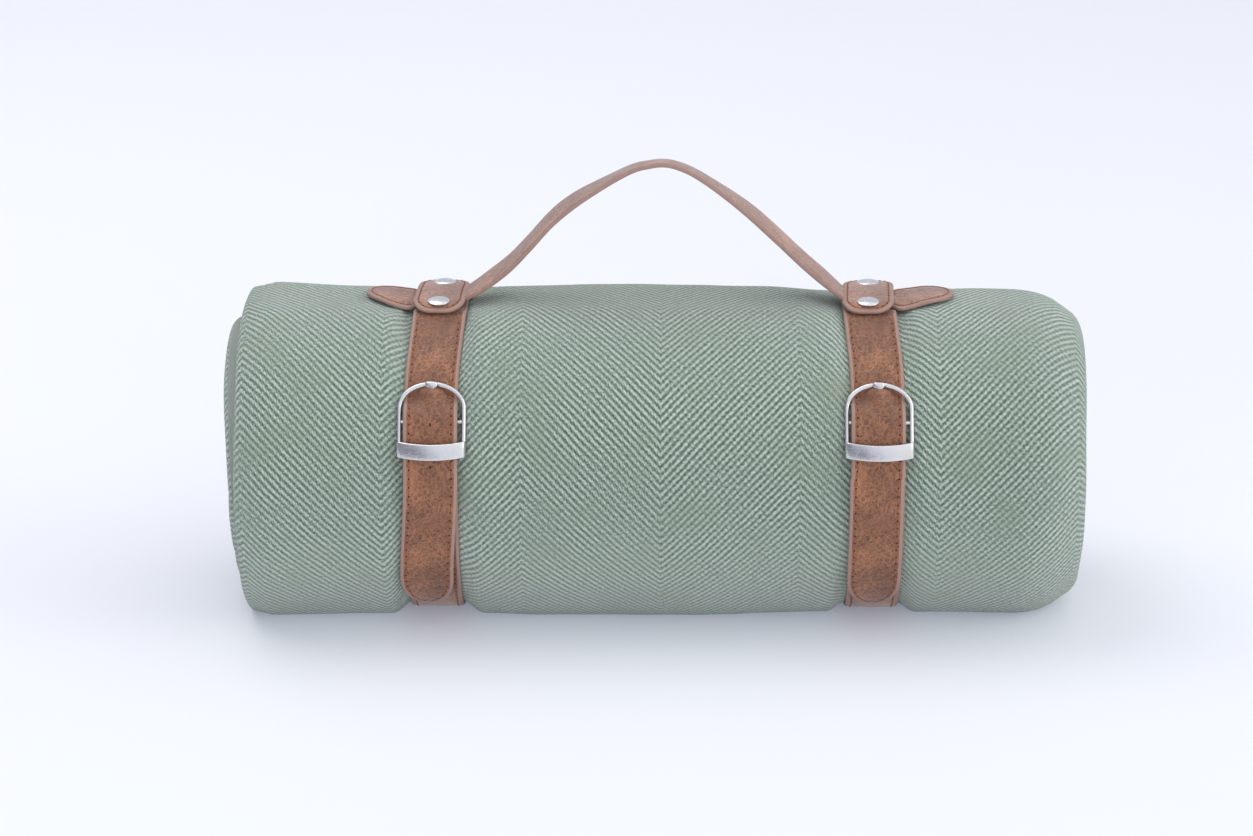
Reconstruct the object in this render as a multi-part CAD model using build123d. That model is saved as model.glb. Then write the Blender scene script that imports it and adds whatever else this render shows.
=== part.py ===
"""A rolled picnic blanket held in a leather carrier: two buckled straps and a carry handle.

X runs along the roll, the front with the buckles is -Y, Z is up, and the roll stands on Z = 0.
Angles round the roll are measured from the front (-Y), upwards. All sizes are in mm.
"""

import os
from math import atan2, cos, degrees, radians, sin

from build123d import *

# Blanket roll
ROLL_LENGTH = 500.0
ROLL_RADIUS = 92.0
ROLL_AXIS_Z = 90.0
ROLL_HEIGHT = 178.3
ROLL_END_ROUND = 26.0
WAIST_RADIUS = 85.6
WAIST_HALF_FLAT = 19.5
WAIST_HALF_WIDTH = 32.0

# Patch on the blanket
PATCH_LENGTH = 50.0
PATCH_CENTRE_X = 16.0
PATCH_THICK = 1.0
PATCH_ANGLES = (-74.0, -59.0)

# Leather, as two plies sewn together
PLY = 1.2
LEATHER = 2 * PLY
LAP_GAP = 0.2
SPLINE_STATIONS = 16

# Carrier straps
STRAP_WIDTH = 30.0
STRAP_X = 123.8
RING_MID = 87.0
TIP_ANGLE = -48.0
LAP_ANGLE = -12.0
RING_START = 39.0
CHAPE_ANGLE = 5.0

# Buckle, set out in (u, v) from its pin: u runs up round the roll and v outwards
PIN_ANGLE = 28.0
PIN_RADIAL = 89.4
PIN_RADIUS = 1.0
PIN_SEAT = 1.2
BEND_CLEARANCE = 0.05
FRAME_WIDTH = 38.0
FRAME_BAR = 2.4
FRAME_THICK = 2.4
FRAME_TOP = 22.5
FRAME_STRAIGHT_TOP = 8.0
KEEPER_LOW = -21.4
KEEPER_HEIGHT = 10.0
KEEPER_THICK = 1.6
KEEPER_RISE = 5.6
KEEPER_CROWN = 2.4
KEEPER_LEAN = 13.0
NOTCH_WIDTH = 7.5
NOTCH_DEPTH = 0.8
PRONG_WIDTH = 4.0
PRONG_THICK = 2.0
PRONG_REACH = 23.4
HOLE_WIDTH = 4.8
HOLE_RADIUS = 1.9
HOLE_PITCH = 23.5

# Handle loops and their rivets
LOOP_WIDTH = 29.0
LOOP_LENGTH = 49.0
LOOP_RADIUS = 93.5
LOOP_CORNER = 11.0
RIVET_ANGLE = 11.2
RIVET_CAP_RADIUS = 6.2
RIVET_CAP_HEIGHT = 2.8
RIVET_POST_RADIUS = 1.8
RIVET_FOOT_RADIUS = 4.5
RIVET_FOOT_THICK = 0.8
RIVET_FOOT_GAP = 0.2
RIVET_CLEARANCE = 0.05

# Handle
HANDLE_WIDTH = 23.0
HANDLE_SEAT_Z = 178.6
HANDLE_FOOT_X = 112.0
PADDLE_ROOT_X = 140.5
PADDLE_WIDTH = 31.0
PADDLE_TIP_X = 168.0
ARCH_APEX = (3.0, 79.5)
ARCH_LEFT = ((-91.7, 14.7), (-76.3, 30.5), (-61.1, 50.0), (-38.3, 64.5), (-15.7, 75.4))
ARCH_RIGHT = ((21.5, 72.7), (44.2, 56.8), (67.0, 38.8), (90.0, 18.2))
FOOT_BEND = 10.0
FOOT_SLOPES = (36.0, 43.0)
ARCH_JOINT_GAP = 0.3


def region(lines):
    """Face bounded by the given joined lines."""
    edges = [edge for line in lines for edge in line.edges()]
    return Face(Wire(edges))


def polar(angle, radius):
    """A (Y, Z) point at an angle round the roll."""
    a = radians(angle)
    return (-radius * cos(a), ROLL_AXIS_Z + radius * sin(a))


def from_pin(u, v):
    """A (Y, Z) point given from the buckle pin."""
    a = radians(PIN_ANGLE)
    y, z = polar(PIN_ANGLE, PIN_RADIAL)
    return (y + u * sin(a) - v * cos(a), z + u * cos(a) + v * sin(a))


def pin_plane(x):
    """Plane at a buckle pin: its x is X, its y is u and its z is v."""
    y, z = from_pin(0, 0)
    a = radians(PIN_ANGLE)
    return Plane(origin=(x, y, z), x_dir=(1, 0, 0), z_dir=(0, -cos(a), sin(a)))


def shifted(line, distance):
    """The same line moved sideways, to its left for a positive distance."""
    count = 2 if isinstance(line, ThreePointArc) else SPLINE_STATIONS
    points = []
    for i in range(count + 1):
        along_line = line % (i / count)
        points.append(line @ (i / count) + Vector(-along_line.Y, along_line.X) * distance)
    if count == 2:
        return ThreePointArc(*points)
    return Spline(*points, tangents=(line % 0, line % 1))


def band(path, low, high, plane, width):
    """A strip of leather: the path widened from low to high, then extruded both ways."""
    one = [shifted(line, low) for line in path]
    other = [shifted(line, high) for line in path]
    ends = [Line(one[0] @ 0, other[0] @ 0), Line(one[-1] @ 1, other[-1] @ 1)]
    face = region([*one, ends[1], *reversed(other), ends[0]])
    return extrude(plane * face, width / 2, both=True)


def across(x):
    """Plane across the roll at x, with Y and Z as its own axes."""
    return Plane(origin=(x, 0, 0), x_dir=(0, 1, 0), z_dir=(1, 0, 0))


def along():
    """Plane along the roll through its axis, with X and Z as its own axes."""
    return Plane(origin=(0, 0, 0), x_dir=(1, 0, 0), z_dir=(0, -1, 0))


def waist(centre):
    """Profile points of one waist, from left to right."""
    return [
        (centre - WAIST_HALF_WIDTH, ROLL_RADIUS),
        (centre - WAIST_HALF_FLAT, WAIST_RADIUS),
        (centre + WAIST_HALF_FLAT, WAIST_RADIUS),
        (centre + WAIST_HALF_WIDTH, ROLL_RADIUS),
    ]


def make_blanket():
    half = ROLL_LENGTH / 2
    shoulder = ROLL_RADIUS - ROLL_END_ROUND
    points = [(-half + ROLL_END_ROUND, ROLL_RADIUS), *waist(-STRAP_X), *waist(STRAP_X)]
    points.append((half - ROLL_END_ROUND, ROLL_RADIUS))
    bulge = ROLL_END_ROUND * (1 - cos(radians(45)))
    outline = [
        Polyline(*points),
        ThreePointArc(points[-1], (half - bulge, ROLL_RADIUS - bulge), (half, shoulder)),
        Polyline((half, shoulder), (half, 0), (-half, 0), (-half, shoulder)),
        ThreePointArc((-half, shoulder), (-half + bulge, ROLL_RADIUS - bulge), points[0]),
    ]
    roll = revolve(along() * region(outline), Axis.X)
    roll = Pos(0, 0, ROLL_AXIS_Z) * roll
    keep = Pos(0, 0, ROLL_HEIGHT / 2) * Box(2 * ROLL_LENGTH, 4 * ROLL_RADIUS, ROLL_HEIGHT)
    roll = roll & keep
    for x in (-STRAP_X, STRAP_X):
        for angle in rivet_angles():
            plane = rivet_plane(x, angle, RING_MID - PLY)
            roll = roll - plane * Cylinder(RIVET_FOOT_RADIUS + 0.5, 2 * RIVET_FOOT_THICK + 1)
    return roll


def make_patch():
    low, high = PATCH_ANGLES
    inner = ROLL_RADIUS + 0.1
    outer = inner + PATCH_THICK
    middle = (low + high) / 2
    outline = [
        ThreePointArc(polar(low, inner), polar(middle, inner), polar(high, inner)),
        Line(polar(high, inner), polar(high, outer)),
        ThreePointArc(polar(high, outer), polar(middle, outer), polar(low, outer)),
        Line(polar(low, outer), polar(low, inner)),
    ]
    face = region(outline)
    return extrude(across(PATCH_CENTRE_X) * face, PATCH_LENGTH / 2, both=True)


def round_roll(start, end, radius):
    """Arc round the roll from one angle to another."""
    return ThreePointArc(polar(start, radius), polar((start + end) / 2, radius), polar(end, radius))


def strap_path():
    """Middle line of a strap from its tip, up over the roll, round it and back to the chape."""
    over = RING_MID + LEATHER + LAP_GAP
    bend = PIN_RADIUS + BEND_CLEARANCE + PLY
    tip = round_roll(TIP_ANGLE, LAP_ANGLE, over)
    ring = round_roll(RING_START, 360 + LAP_ANGLE, RING_MID)
    turn = ThreePointArc(from_pin(0, bend), from_pin(bend, 0), from_pin(0, -bend))
    chape_end = round_roll(CHAPE_ANGLE + 5, CHAPE_ANGLE, RING_MID)
    crossing = [
        polar(-2, over + 1.6),
        polar(8, over + 2.6),
        polar(20, over + 3.4),
        from_pin(0, 4.85),
        from_pin(3.5, 4.4),
        from_pin(7, 2.6),
        from_pin(10, -0.1),
        from_pin(12.6, -2.6),
    ]
    rise = Spline(tip @ 1, *crossing, ring @ 0, tangents=(tip % 1, ring % 0))
    climbing = [polar(-2, RING_MID + 1.6), polar(8, RING_MID + 2.6), polar(20, RING_MID + 3.3)]
    climb = Spline(ring @ 1, *climbing, turn @ 0, tangents=(ring % 1, turn % 0))
    chape = Spline(turn @ 1, chape_end @ 0, tangents=(turn % 1, chape_end % 0))
    return [tip, rise, ring, climb, turn, chape, chape_end]


def strap_cuts(x):
    """Everything taken out of one strap: prong slots, punched holes and rivet holes."""
    plane = pin_plane(x)
    cuts = [
        plane * Pos(0, 0.6, 0) * Box(HOLE_WIDTH, 8.4, 7.2),
        plane * Pos(0, 8.8, 1.5) * Box(HOLE_WIDTH, 9.2, 10),
    ]
    for i in (1, 2):
        angle = PIN_ANGLE + degrees(FRAME_TOP / PIN_RADIAL) - i * degrees(HOLE_PITCH / PIN_RADIAL)
        hole = Cylinder(HOLE_RADIUS, 5.2)
        lift = RING_MID + LEATHER + LAP_GAP + 3.0
        cuts.append(rivet_plane(x, angle, lift) * hole)
    for angle in rivet_angles():
        hole = Cylinder(RIVET_POST_RADIUS + RIVET_CLEARANCE, 4 * LEATHER)
        cuts.append(rivet_plane(x, angle, RING_MID) * hole)
    return cuts


def tip_rounding(x):
    """What rounds the strap's tip: the corners outside a half circle."""
    radius = STRAP_WIDTH / 2
    lift = RING_MID + LEATHER + LAP_GAP
    angle = TIP_ANGLE + degrees(radius / lift)
    plane = rivet_plane(x, angle, lift)
    block = Pos(0, -radius, 0) * Box(2 * STRAP_WIDTH, 2 * radius, 4.6)
    return plane * (block - Cylinder(radius, 20))


def make_strap(x):
    path = strap_path()
    tools = [*strap_cuts(x), tip_rounding(x)]
    face = band(path, 0, PLY, across(x), STRAP_WIDTH)
    lining = band(path, -PLY, 0, across(x), STRAP_WIDTH)
    for tool in tools:
        face = face - tool
        lining = lining - tool
    return face, lining


def rivet_angles():
    return (90 - RIVET_ANGLE, 90 + RIVET_ANGLE)


def rivet_plane(x, angle, radius):
    """Plane on the roll at an angle and radius: its x is X and its z points outwards."""
    a = radians(angle)
    y, z = polar(angle, radius)
    return Plane(origin=(x, y, z), x_dir=(1, 0, 0), z_dir=(0, -cos(a), sin(a)))


def make_loop(x):
    """Both plies of one handle loop, arched over the handle, with rounded corners."""
    reach = degrees(LOOP_LENGTH / 2 / LOOP_RADIUS)
    path = [round_roll(90 - reach, 90 + reach, LOOP_RADIUS)]
    lift = ROLL_AXIS_Z + LOOP_RADIUS
    outline = Pos(x, 0, lift) * RectangleRounded(LOOP_WIDTH, LOOP_LENGTH, LOOP_CORNER)
    outline = extrude(outline, 4 * LEATHER, both=True)
    plies = []
    for low, high in ((0, PLY), (-PLY, 0)):
        ply = band(path, low, high, across(x), LOOP_WIDTH) & outline
        for angle in rivet_angles():
            hole = Cylinder(RIVET_POST_RADIUS + RIVET_CLEARANCE, 3 * LEATHER)
            ply = ply - rivet_plane(x, angle, LOOP_RADIUS) * hole
        plies.append(ply)
    return plies


def make_rivets(x):
    caps, posts = Part(), Part()
    base = (Align.CENTER, Align.CENTER, Align.MIN)
    foot_radius = RING_MID - PLY - RIVET_FOOT_THICK - RIVET_FOOT_GAP
    top_radius = LOOP_RADIUS + PLY
    for angle in rivet_angles():
        seat = rivet_plane(x, angle, top_radius + 0.05)
        ball_radius = (RIVET_CAP_RADIUS**2 + RIVET_CAP_HEIGHT**2) / (2 * RIVET_CAP_HEIGHT)
        dome = Pos(0, 0, RIVET_CAP_HEIGHT - ball_radius) * Sphere(ball_radius)
        dome = dome & Cylinder(RIVET_CAP_RADIUS + 1, RIVET_CAP_HEIGHT, align=base)
        socket = Cylinder(RIVET_POST_RADIUS, 1.5, align=base)
        caps += seat * (dome - socket)
        foot = rivet_plane(x, angle, foot_radius)
        post_length = top_radius + 0.05 + 1.5 - foot_radius
        post = Cylinder(RIVET_POST_RADIUS, post_length, align=base)
        posts += foot * (post + Cylinder(RIVET_FOOT_RADIUS, RIVET_FOOT_THICK, align=base))
    return caps, posts


def frame_outline(inset):
    """Outline of a buckle frame: straight sides and a half ellipse on top."""
    half = FRAME_WIDTH / 2 - inset
    top = FRAME_TOP - inset
    low = KEEPER_LOW + KEEPER_HEIGHT - 2
    arch = EllipticalCenterArc(
        (0, FRAME_STRAIGHT_TOP), half, top - FRAME_STRAIGHT_TOP, start_angle=0, arc_size=180
    )
    sides = Polyline((-half, FRAME_STRAIGHT_TOP), (-half, low), (half, low), (half, FRAME_STRAIGHT_TOP))
    return region([arch, sides])


def keeper():
    """The flat bar that crosses the strap's tip, with its two legs."""
    half = FRAME_WIDTH / 2
    inside = half - FRAME_BAR
    foot = -FRAME_THICK / 2
    shoulder = KEEPER_RISE
    outer = [
        Polyline((half, shoulder - 0.6), (half, foot), (-half, foot), (-half, shoulder - 0.6)),
        ThreePointArc((-half, shoulder - 0.6), (0, shoulder + KEEPER_CROWN), (half, shoulder - 0.6)),
    ]
    roof = shoulder - KEEPER_THICK
    inner = [
        Polyline((inside, roof - 0.5), (inside, foot - 1), (-inside, foot - 1), (-inside, roof - 0.5)),
        ThreePointArc((-inside, roof - 0.5), (0, roof + KEEPER_CROWN), (inside, roof - 0.5)),
    ]
    face = region(outer) - region(inner)
    section = along() * face
    bar = extrude(section, KEEPER_HEIGHT / 2, both=True)
    middle = KEEPER_LOW + KEEPER_HEIGHT / 2
    return Pos(0, middle, 0) * Rot(KEEPER_LEAN, 0, 0) * bar


def make_buckle(x):
    """Frame, pin and prong of one buckle."""
    place = pin_plane(x)
    hoop = extrude(frame_outline(0) - frame_outline(FRAME_BAR), FRAME_THICK / 2, both=True)
    gap = Pos(0, KEEPER_LOW + KEEPER_HEIGHT - 2, 0) * Box(FRAME_WIDTH - 2 * FRAME_BAR, 8, 20)
    hoop = hoop - gap
    hoop = fillet(hoop.edges().filter_by(Plane.XY).group_by(Axis.Z)[-1], 0.7)
    hoop = fillet(hoop.edges().filter_by(Plane.XY).group_by(Axis.Z)[0], 0.7)
    frame = hoop + keeper()
    notch = Pos(0, FRAME_TOP, FRAME_THICK / 2) * Box(NOTCH_WIDTH, 2 * FRAME_BAR + 2, 2 * NOTCH_DEPTH)
    frame = frame - notch
    seat_length = FRAME_WIDTH - 2 * FRAME_BAR + 2 * PIN_SEAT
    pin = Rot(0, 90, 0) * Cylinder(PIN_RADIUS, seat_length)
    frame = frame - pin
    return place * frame, place * pin, place * make_prong()


def make_prong():
    eye = Cylinder(2.1, PRONG_WIDTH)
    rise = FRAME_THICK / 2 - NOTCH_DEPTH + 0.1 + PRONG_THICK / 2
    lean = degrees(atan2(rise, FRAME_TOP - FRAME_BAR / 2))
    shank = Pos(PRONG_REACH / 2, 0, 0) * Box(PRONG_REACH, PRONG_THICK, PRONG_WIDTH)
    nose = shank.edges().filter_by(Axis.Z).group_by(Axis.X)[-1]
    shank = Rot(0, 0, lean) * fillet(nose, 0.8)
    prong = eye + shank - Cylinder(PIN_RADIUS + BEND_CLEARANCE, 2 * PRONG_WIDTH)
    return Plane(origin=(0, 0, 0), x_dir=(0, 1, 0), z_dir=(1, 0, 0)) * prong


def foot_bend(side):
    """Arc in which the handle leaves the seat on one side, from its left end to its right end."""
    slope = FOOT_SLOPES[0] if side < 0 else FOOT_SLOPES[1]
    foot = HANDLE_SEAT_Z + PLY
    ends = []
    for turn in (0, radians(slope / 2), radians(slope)):
        x = side * (HANDLE_FOOT_X - FOOT_BEND * sin(turn))
        ends.append((x, foot + FOOT_BEND * (1 - cos(turn))))
    return ThreePointArc(*(ends if side < 0 else reversed(ends)))


def arch_half(start, points, end, tangents):
    """Smooth line from start through the given places, which are measured up from the seat."""
    foot = HANDLE_SEAT_Z + PLY
    return Spline(start, *[(x, foot + rise) for x, rise in points], end, tangents=tangents)


def make_grip():
    left, right = foot_bend(-1), foot_bend(1)
    apex = (ARCH_APEX[0], HANDLE_SEAT_Z + PLY + ARCH_APEX[1])
    rise = arch_half(left @ 1, ARCH_LEFT, apex, (left % 1, (1, 0)))
    fall = arch_half(apex, ARCH_RIGHT, right @ 0, ((1, 0), right % 0))
    path = [left, rise, fall, right]
    upper = band(path, 0, PLY, along(), HANDLE_WIDTH)
    lower = band(path, -PLY, 0, along(), HANDLE_WIDTH)
    return upper, lower


def make_handle_end(side):
    """Face and lining of one handle end, from the foot of the arch to the rounded paddle."""
    inner = HANDLE_FOOT_X + ARCH_JOINT_GAP
    neck_length = PADDLE_TIP_X - PADDLE_WIDTH / 2 - inner
    neck = Pos(inner + neck_length / 2, 0) * Rectangle(neck_length, HANDLE_WIDTH)
    paddle = Pos(PADDLE_TIP_X - PADDLE_WIDTH / 2, 0) * Circle(PADDLE_WIDTH / 2)
    cheek_length = PADDLE_TIP_X - PADDLE_WIDTH / 2 - PADDLE_ROOT_X
    cheek = Pos(PADDLE_ROOT_X + cheek_length / 2, 0) * Rectangle(cheek_length, PADDLE_WIDTH)
    shape = neck + paddle + cheek
    if side < 0:
        shape = mirror(shape, Plane.YZ)
    lower = Pos(0, 0, HANDLE_SEAT_Z) * extrude(shape, PLY)
    upper = Pos(0, 0, HANDLE_SEAT_Z + PLY) * extrude(shape, PLY)
    return upper, lower


def save(name, shape):
    shape.label = name
    export_step(shape, f"parts/{name}.step")


def main():
    os.makedirs("parts", exist_ok=True)
    save("blanket", make_blanket())
    save("blanket_patch", make_patch())
    for side, sign in (("left", -1), ("right", 1)):
        x = sign * STRAP_X
        for ply, shape in zip(("face", "lining"), make_strap(x)):
            save(f"strap_{side}_{ply}", shape)
        for ply, shape in zip(("face", "lining"), make_loop(x)):
            save(f"loop_{side}_{ply}", shape)
        for piece, shape in zip(("caps", "posts"), make_rivets(x)):
            save(f"rivet_{side}_{piece}", shape)
        for piece, shape in zip(("frame", "pin", "prong"), make_buckle(x)):
            save(f"buckle_{side}_{piece}", shape)
        for ply, shape in zip(("face", "lining"), make_handle_end(sign)):
            save(f"handle_end_{side}_{ply}", shape)
    for ply, shape in zip(("face", "lining"), make_grip()):
        save(f"handle_grip_{ply}", shape)


main()
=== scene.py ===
"""A rolled herringbone picnic blanket in a leather strap carrier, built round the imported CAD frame.

Shapes are worked out in millimetres and turned into metres by make_mesh. The roll lies along X with its
front towards -Y; angles round it start at the front and go upwards.
"""
import itertools
import math
import random

import bmesh
import bpy
import numpy as np
from mathutils import Matrix, Vector, noise


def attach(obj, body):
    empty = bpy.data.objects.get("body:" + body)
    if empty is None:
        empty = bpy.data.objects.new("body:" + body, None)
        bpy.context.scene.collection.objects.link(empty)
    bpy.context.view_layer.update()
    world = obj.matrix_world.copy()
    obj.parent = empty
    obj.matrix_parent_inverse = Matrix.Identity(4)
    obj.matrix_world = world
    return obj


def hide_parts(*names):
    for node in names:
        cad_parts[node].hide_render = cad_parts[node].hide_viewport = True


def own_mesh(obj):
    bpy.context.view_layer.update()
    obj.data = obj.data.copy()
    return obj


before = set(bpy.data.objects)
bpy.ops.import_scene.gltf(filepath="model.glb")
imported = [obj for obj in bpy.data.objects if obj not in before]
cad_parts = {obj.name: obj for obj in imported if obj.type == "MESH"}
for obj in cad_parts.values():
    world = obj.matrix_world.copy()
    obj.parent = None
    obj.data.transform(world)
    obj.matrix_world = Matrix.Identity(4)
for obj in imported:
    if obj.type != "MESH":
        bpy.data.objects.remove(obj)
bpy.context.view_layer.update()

MM = 0.001
AXIS_Z = 90.0  # height of the roll's axis
STRAP_X = 123.8  # from the middle to each strap
STRAP_WIDTH = 30.0
LEATHER = 2.4  # two plies
RING = 87.0  # radius of a strap's middle layer round the roll
OVER = RING + LEATHER + 0.2  # radius of the layer that lies over it
PIN_ANGLE, PIN_RADIAL = 28.0, 89.4  # place of a buckle's pin
SEAT_Z = 178.6  # underside of the handle's ends


# ---- small helpers

def smooth(x, low, high):
    """Smooth step of x from 0 at low to 1 at high; works on numbers and arrays."""
    t = np.clip((x - low) / (high - low), 0.0, 1.0)
    return t * t * (3 - 2 * t)


def polar(angle, radius):
    """(y, z) in mm at an angle round the roll, from the front upwards."""
    a = math.radians(angle)
    return (-radius * math.cos(a), AXIS_Z + radius * math.sin(a))


PIN_Y, PIN_Z = polar(PIN_ANGLE, PIN_RADIAL)
PIN_SIN, PIN_COS = math.sin(math.radians(PIN_ANGLE)), math.cos(math.radians(PIN_ANGLE))


def from_pin(u, v):
    """(y, z) in mm, u up round the roll and v outwards from a buckle's pin."""
    return (PIN_Y + u * PIN_SIN - v * PIN_COS, PIN_Z + u * PIN_COS + v * PIN_SIN)


def to_pin(y, z):
    """(u, v) at a buckle's pin of the point (y, z): the reverse of from_pin."""
    y, z = y - PIN_Y, z - PIN_Z
    return (y * PIN_SIN + z * PIN_COS, z * PIN_SIN - y * PIN_COS)


def side_name(side):
    return "left" if side < 0 else "right"


def lengths(line):
    """Distance along a line at each of its points."""
    return np.concatenate([[0], np.cumsum(np.linalg.norm(np.diff(line, axis=0), axis=1))])


def directions(line, *along):
    """Unit direction of a line at each of its points."""
    way = np.gradient(line, *along, axis=0)
    return way / np.linalg.norm(way, axis=1)[:, None]


def sample(at, along, values):
    """What the rows of values come to at a distance along a line."""
    return np.array([np.interp(at, along, column) for column in values.T])


def linked(name, data):
    """New object in the scene."""
    obj = bpy.data.objects.new(name, data)
    bpy.context.scene.collection.objects.link(obj)
    return obj


def bevel(obj, width, segments, angle):
    """Rounds the edges sharper than an angle in degrees."""
    modifier = obj.modifiers.new("rounding", "BEVEL")
    modifier.width = width * MM
    modifier.segments = segments
    modifier.limit_method = "ANGLE"
    modifier.angle_limit = math.radians(angle)


def make_mesh(name, points, faces, materials, face_slots=None, attributes=None):
    """Object from points in mm. attributes maps a name to one vector for each point."""
    mesh = bpy.data.meshes.new(name)
    mesh.from_pydata([tuple(c * MM for c in p) for p in points], [], faces)
    for material in materials:
        mesh.materials.append(material)
    if face_slots is not None:
        mesh.polygons.foreach_set("material_index", face_slots)
    for key, values in (attributes or {}).items():
        layer = mesh.attributes.new(key, "FLOAT_VECTOR", "POINT")
        layer.data.foreach_set("vector", np.asarray(values, np.float32).ravel())
    mesh.polygons.foreach_set("use_smooth", [True] * len(mesh.polygons))
    mesh.validate()
    mesh.update()
    return linked(name, mesh)


def catmull(points, count):
    """count + 1 even points along a smooth line through the given ones, as an array."""
    p = np.array(points, float)
    p = np.vstack([2 * p[0] - p[1], p, 2 * p[-1] - p[-2]])
    dense = []
    for i in range(1, len(p) - 2):
        for t in np.linspace(0, 1, 24, endpoint=False):
            a, b, c, d = p[i - 1], p[i], p[i + 1], p[i + 2]
            dense.append(0.5 * (2 * b + (c - a) * t + (2 * a - 5 * b + 4 * c - d) * t * t
                                + (3 * b - a - 3 * c + d) * t ** 3))
    dense.append(p[-2])
    dense = np.array(dense)
    along = lengths(dense)
    return sample(np.linspace(0, along[-1], count + 1), along, dense).T


def bar_faces(rings):
    """Faces of a closed bar whose cross-sections are rings of point numbers."""
    size = len(rings[0])
    steps = [(k, (k + 1) % size) for k in range(size)]
    faces = [(a[k], a[m], b[m], b[k]) for a, b in zip(rings, rings[1:]) for k, m in steps]
    return faces + [tuple(reversed(rings[0])), tuple(rings[-1])]


def powered(value, power):
    """Power of a number's size, with its sign kept."""
    return math.copysign(abs(value) ** power, value)


def set_stops(elements, stops):
    """Fills a colour ramp; a stop is (position, colour) or (position, grey)."""
    while len(elements) < len(stops):
        elements.new(0.5)
    for element, (position, colour) in zip(elements, stops):
        element.position = position
        element.color = (*colour, 1) if isinstance(colour, tuple) else (colour, colour, colour, 1)


# ---- node materials

class Nodes:
    """Short way to write a node material."""

    def __init__(self, name):
        self.material = bpy.data.materials.new(name)
        self.material.use_nodes = True
        self.tree = self.material.node_tree
        self.shader = self.tree.nodes["Principled BSDF"]

    def add(self, kind, settings=None, **inputs):
        """New node; inputs are given by the names of their sockets."""
        node = self.tree.nodes.new("ShaderNode" + kind)
        for key, value in (settings or {}).items():
            setattr(node, key, value)
        for key, value in inputs.items():
            self.feed(node.inputs[key], value)
        return node

    def feed(self, socket, value):
        if isinstance(value, bpy.types.NodeSocket):
            self.tree.links.new(value, socket)
        else:
            socket.default_value = value

    def math(self, operation, a, b=None, clamp=False):
        """Number worked out from a and b."""
        node = self.add("Math", {"operation": operation, "use_clamp": clamp})
        self.feed(node.inputs[0], a)
        if b is not None:
            self.feed(node.inputs[1], b)
        return node.outputs[0]

    def times(self, a, b):
        return self.math("MULTIPLY", a, b)

    def plus(self, a, b, clamp=False):
        return self.math("ADD", a, b, clamp)

    def minus(self, a, b):
        return self.math("SUBTRACT", a, b)

    def ramp(self, value, *stops):
        node = self.add("ValToRGB", None, Fac=value)
        set_stops(node.color_ramp.elements, stops)
        return node.outputs[0]

    def mix(self, factor, a, b):
        """Colour between a, at factor 0, and b, at factor 1."""
        node = self.add("Mix", {"data_type": "RGBA"})
        self.feed(node.inputs[0], factor)
        for socket, value in ((node.inputs[6], a), (node.inputs[7], b)):
            self.feed(socket, (*value, 1) if isinstance(value, tuple) else value)
        return node.outputs[2]

    def noise(self, vector, scale, detail=3.0, roughness=0.5):
        node = self.add("TexNoise", None, Vector=vector, Scale=scale, Detail=detail, Roughness=roughness)
        return node.outputs["Fac"]

    def cell_edges(self, vector, scale):
        """Distance to the nearest border between irregular cells."""
        node = self.add("TexVoronoi", {"feature": "DISTANCE_TO_EDGE"}, Vector=vector, Scale=scale)
        return node.outputs["Distance"]

    def warp(self, vector, by, scale, detail, amount):
        """The vector, moved about by noise taken at the place `by`."""
        shift = self.add("TexNoise", None, Vector=by, Scale=scale, Detail=detail).outputs["Color"]
        node = self.add("VectorMath", {"operation": "MULTIPLY_ADD"})
        self.feed(node.inputs[0], shift)
        self.feed(node.inputs[1], (amount, amount, amount))
        self.feed(node.inputs[2], vector)
        return node.outputs[0]

    def attribute(self, name):
        return self.add("Attribute", {"attribute_name": name}).outputs["Vector"]

    def place(self):
        return self.add("TexCoord").outputs["Object"]

    def separate(self, vector):
        return self.add("SeparateXYZ", None, Vector=vector).outputs

    def combine(self, x, y, z):
        return self.add("CombineXYZ", None, X=x, Y=y, Z=z).outputs[0]

    def finish(self, colour, roughness, bump, strength, distance, **plain):
        """Feeds the surface shader; `plain` sets further sockets to plain numbers."""
        self.feed(self.shader.inputs["Base Color"], colour)
        self.feed(self.shader.inputs["Roughness"], roughness)
        node = self.add("Bump", None, Strength=strength, Distance=distance, Height=bump)
        self.feed(self.shader.inputs["Normal"], node.outputs[0])
        for key, value in plain.items():
            self.shader.inputs[key.replace("_", " ")].default_value = value
        return self.material


COLUMN = 0.0775  # width of one slant of the herringbone, in metres
COLUMN_START = 0.0034
RIB_PITCH = 0.0046
YARN_PITCH = 0.0021


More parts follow.
